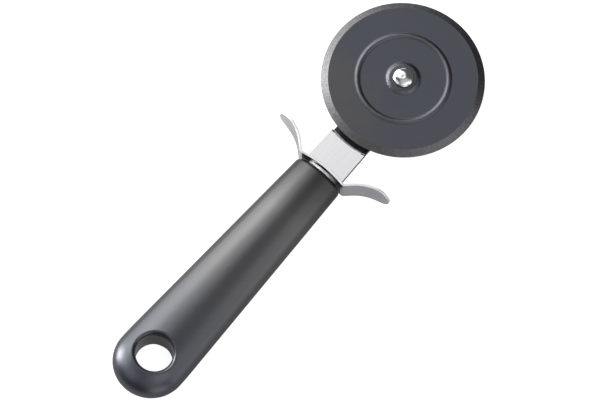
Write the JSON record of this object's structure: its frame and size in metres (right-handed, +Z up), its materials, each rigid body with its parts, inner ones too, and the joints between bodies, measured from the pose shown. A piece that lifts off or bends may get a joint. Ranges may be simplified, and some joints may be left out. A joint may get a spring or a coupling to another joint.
{
  "type": "pizza cutter wheel",
  "caption": "Hand-held pizza cutter: a bevelled steel wheel turning on a rivet at the end of a steel strap, with a winged thumb guard and a tapered handle with a hanging hole.",
  "frame": {"origin": "middle of the overall length, on the centre line, at the level that the handle rests on", "axes": "+X from the handle's butt to the wheel, +Z up through the wheel's bevelled face, +Y across to the left of the wheel's way forward"},
  "size_m": [0.2099, 0.068, 0.0173],
  "materials": {
    "wheel_steel": "satin ground steel, slightly mottled, with a brighter ground bevel",
    "rivet_steel": "polished domed head",
    "washer_steel": "plain satin steel",
    "sleeve_steel": "turned steel",
    "collar_plastic": "plain moulded plastic",
    "strap_steel": "bright satin steel",
    "guard_steel": "polished steel strip",
    "bolster_steel": "bright satin steel",
    "core_plastic": "plain dark moulded plastic",
    "grip_plastic": "satin dark grey skin, slightly soft"
  },
  "bodies": {
    "tool": {"handle_grip": "grip_plastic", "handle_core": "core_plastic", "oval_bolster": "bolster_steel", "thumb_guard": "guard_steel", "strap_arm": "strap_steel", "axle_rivet": "rivet_steel", "axle_sleeve": "sleeve_steel", "spacer_collar": "collar_plastic", "head_washer": "washer_steel", "tail_washer": "washer_steel"},
    "wheel": {"cutting_wheel": "wheel_steel"}
  },
  "joints": [
    {"name": "wheel_spin", "type": "hinge", "parent": "tool", "child": "wheel", "pos_m": [0.07095, 0, 0.0084], "axis": [0, 0, 1], "continuous": true}
  ]
}
